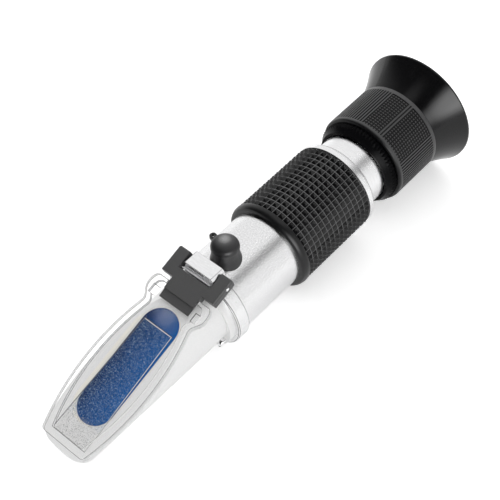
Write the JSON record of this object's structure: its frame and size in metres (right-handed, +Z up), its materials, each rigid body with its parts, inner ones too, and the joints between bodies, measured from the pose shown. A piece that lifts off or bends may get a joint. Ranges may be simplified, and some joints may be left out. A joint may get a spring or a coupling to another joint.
{
  "type": "hand-held optical salinity refractometer",
  "caption": "Pencil-shaped optical refractometer with a hinged daylight plate over a sloping prism, a knurled grip, a capped calibration screw and a turning eyepiece.",
  "frame": {"origin": "on the optical axis, halfway between the nose and the eyecup's rim, at the centre of the bounding box", "axes": "+X along the optical axis towards the eye, +Z up through the hinge pin and the calibration cap"},
  "size_m": [0.1632, 0.0406, 0.0406],
  "materials": {
    "cast_white": "satin",
    "barrel_silver": "matt",
    "bright_metal": "polished",
    "steel": "brushed",
    "brass": "satin",
    "black_metal": "matt",
    "black_plastic": "satin",
    "black_gloss": "gloss",
    "black_rubber": "matt",
    "blue_glass": "polished",
    "lens_glass": "polished",
    "clear_plastic": "gloss"
  },
  "bodies": {
    "frame": {"prism_housing": "cast_white", "measuring_prism": "blue_glass", "prism_seal": "black_rubber", "housing_screws": "steel", "light_stop": "black_metal", "barrel_seal": "black_rubber", "collar_ring": "barrel_silver", "hinge_block": "bright_metal", "hinge_pin": "steel", "leaf_spring": "bright_metal", "barrel_tube": "barrel_silver", "grip_sleeve": "black_rubber", "end_ring": "barrel_silver", "calibration_boss": "barrel_silver", "optical_frame": "black_metal", "strip_clamp": "black_metal", "focus_tube": "steel", "reticle_cell": "black_metal", "reticle": "lens_glass", "reticle_retainer": "black_metal"},
    "cover": {"daylight_plate": "clear_plastic", "hinge_bracket": "black_plastic"},
    "cap": {"calibration_cap": "black_rubber"},
    "adjuster": {"calibration_screw": "brass"},
    "compensator": {"bimetal_strip": "steel", "lens_carrier": "black_metal", "objective_lens": "lens_glass", "objective_retainer": "black_metal"},
    "lens_unit": {"ocular_barrel": "black_metal", "guide_key": "steel", "field_lens": "lens_glass", "lens_spacer": "black_metal", "eye_lens": "lens_glass", "lens_retainer": "black_metal"},
    "focus_ring": {"eyepiece_hub": "black_plastic", "focus_sleeve": "black_rubber", "eyecup": "black_gloss"}
  },
  "joints": [
    {"name": "cover_hinge", "type": "hinge", "parent": "frame", "child": "cover", "pos_m": [-0.0223, 0, 0.0166], "axis": [0, 1, 0], "range_deg": [0, 110]},
    {"name": "cap_lift", "type": "slide", "parent": "frame", "child": "cap", "axis": [0, 0, 1], "range_m": [0, 0.01]},
    {"name": "calibration_turn", "type": "hinge", "parent": "frame", "child": "adjuster", "pos_m": [-0.0122, 0, 0.0135], "axis": [0, 0, -1], "range_deg": [-180, 180]},
    {"name": "lens_tilt", "type": "hinge", "parent": "frame", "child": "compensator", "pos_m": [0.0014, 0, 0.0091], "axis": [0, -1, 0], "range_deg": [-1.05, 1.05]},
    {"name": "focus_travel", "type": "slide", "parent": "frame", "child": "lens_unit", "axis": [1, 0, 0], "range_m": [-0.002, 0.002]},
    {"name": "focus_turn", "type": "hinge", "parent": "lens_unit", "child": "focus_ring", "pos_m": [0.06, 0, 0], "axis": [1, 0, 0], "range_deg": [-90, 90]}
  ],
  "couplings": [
    {"joint": "calibration_turn", "follows": "lens_tilt", "ratio": 170.9},
    {"joint": "focus_turn", "follows": "focus_travel", "rad_per_m": 785}
  ]
}
